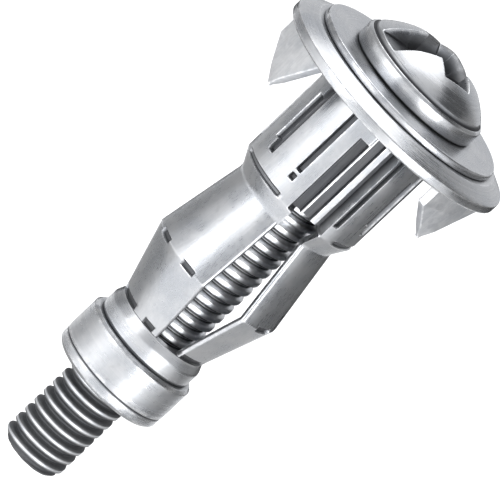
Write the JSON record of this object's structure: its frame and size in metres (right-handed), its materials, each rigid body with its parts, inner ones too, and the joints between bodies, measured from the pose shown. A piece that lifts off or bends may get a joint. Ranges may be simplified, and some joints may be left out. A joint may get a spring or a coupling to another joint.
{
  "type": "hollow-wall anchor",
  "caption": "Hollow-wall anchor: a machine screw and washer through a spurred, folding steel sleeve whose legs spread behind the wall as the screw draws the nut forward.",
  "frame": {"origin": "on the screw's axis at the wall's face, in the plane of the flange's flat underside", "axes": "+Z along the screw's axis, out of the wall toward the screw's head; -Y toward the side from which one window between the legs is seen"},
  "size_m": [0.0232, 0.0232, 0.0492],
  "materials": {
    "zinc_sheet": "bright zinc on pressed sheet steel, satin, with drawing marks along the axis",
    "zinc_nut": "bright zinc on turned steel",
    "zinc_washer": "bright zinc on stamped steel",
    "screw_steel": "bright zinc on cold-headed steel with a rolled thread"
  },
  "bodies": {
    "sleeve": {"spurred_flange": "zinc_sheet", "neck": "zinc_sheet"},
    "washer": {"washer": "zinc_washer"},
    "screw": {"screw": "screw_steel"},
    "upper_leg_1": {"upper_leg_1": "zinc_sheet"},
    "lower_leg_1": {"lower_leg_1": "zinc_sheet"},
    "upper_leg_2": {"upper_leg_2": "zinc_sheet"},
    "lower_leg_2": {"lower_leg_2": "zinc_sheet"},
    "upper_leg_3": {"upper_leg_3": "zinc_sheet"},
    "lower_leg_3": {"lower_leg_3": "zinc_sheet"},
    "nut_end": {"rear_collar": "zinc_sheet", "nut": "zinc_nut"}
  },
  "joints": [
    {"name": "screw_withdrawal", "type": "slide", "parent": "sleeve", "child": "washer", "axis": [0, 0, 1], "range_m": [0, 0.045]},
    {"name": "screw_turn", "type": "hinge", "parent": "washer", "child": "screw", "pos_m": [0, 0, 0.0023], "axis": [0, 0, -1], "range_deg": [0, 2760]},
    {"name": "leg_1_root", "type": "hinge", "parent": "sleeve", "child": "upper_leg_1", "pos_m": [-0.00305, -0.00357, -0.0137], "axis": [-0.7604, 0.6494, 0], "range_deg": [0, 65]},
    {"name": "leg_1_knee", "type": "hinge", "parent": "upper_leg_1", "child": "lower_leg_1", "pos_m": [-0.00312, -0.00365, -0.0202], "axis": [0.7604, -0.6494, 0], "range_deg": [0, 130]},
    {"name": "leg_2_root", "type": "hinge", "parent": "sleeve", "child": "upper_leg_2", "pos_m": [0.00462, -0.00086, -0.0137], "axis": [-0.1822, -0.9833, 0], "range_deg": [0, 65]},
    {"name": "leg_2_knee", "type": "hinge", "parent": "upper_leg_2", "child": "lower_leg_2", "pos_m": [0.00472, -0.00087, -0.0202], "axis": [0.1822, 0.9833, 0], "range_deg": [0, 130]},
    {"name": "leg_3_root", "type": "hinge", "parent": "sleeve", "child": "upper_leg_3", "pos_m": [-0.00157, 0.00443, -0.0137], "axis": [0.9426, 0.3338, 0], "range_deg": [0, 65]},
    {"name": "leg_3_knee", "type": "hinge", "parent": "upper_leg_3", "child": "lower_leg_3", "pos_m": [-0.0016, 0.00452, -0.0202], "axis": [-0.9426, -0.3338, 0], "range_deg": [0, 130]},
    {"name": "leg_1_foot", "type": "hinge", "parent": "lower_leg_1", "child": "nut_end", "pos_m": [-0.00305, -0.00357, -0.0267], "axis": [-0.7604, 0.6494, 0], "range_deg": [0, 65]}
  ],
  "couplings": [
    {"joint": "leg_1_root", "follows": "screw_turn", "ratio": 0.0235},
    {"joint": "leg_1_knee", "follows": "screw_turn", "ratio": 0.047},
    {"joint": "leg_2_root", "follows": "screw_turn", "ratio": 0.0235},
    {"joint": "leg_2_knee", "follows": "screw_turn", "ratio": 0.047},
    {"joint": "leg_3_root", "follows": "screw_turn", "ratio": 0.0235},
    {"joint": "leg_3_knee", "follows": "screw_turn", "ratio": 0.047},
    {"joint": "leg_1_foot", "follows": "screw_turn", "ratio": 0.0235}
  ]
}
